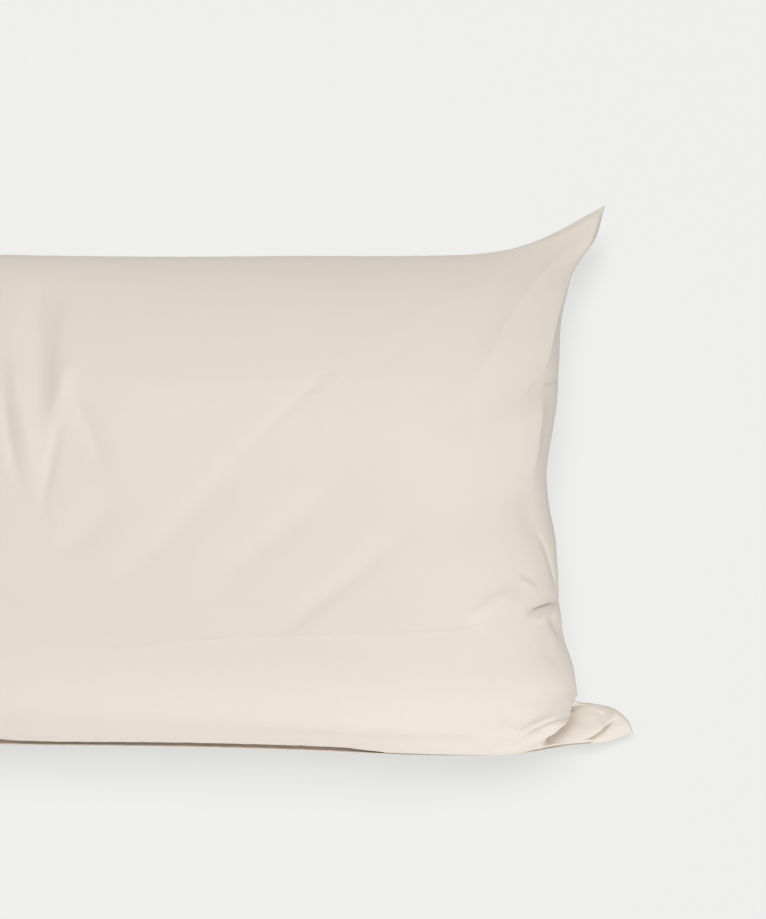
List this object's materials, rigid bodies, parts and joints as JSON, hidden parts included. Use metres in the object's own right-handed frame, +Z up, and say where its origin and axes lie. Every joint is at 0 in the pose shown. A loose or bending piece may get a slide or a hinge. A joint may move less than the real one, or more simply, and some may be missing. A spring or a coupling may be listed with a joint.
{
  "type": "filled pillowcase",
  "caption": "Rectangular cotton pillowcase, filled, with pointed sewn corners, drawn-in sides and one flattened ear.",
  "frame": {"origin": "middle of the filled case's bounding box, on the surface it lies on", "axes": "+X along the length, towards the end with the flattened ear; +Y across the width, towards the side with the upright horn; +Z up out of the face"},
  "size_m": [0.749, 0.484, 0.1499],
  "materials": {
    "cotton": "smooth matte percale, warm cream"
  },
  "bodies": {
    "root": {"pillowcase": "cotton"}
  },
  "joints": []
}
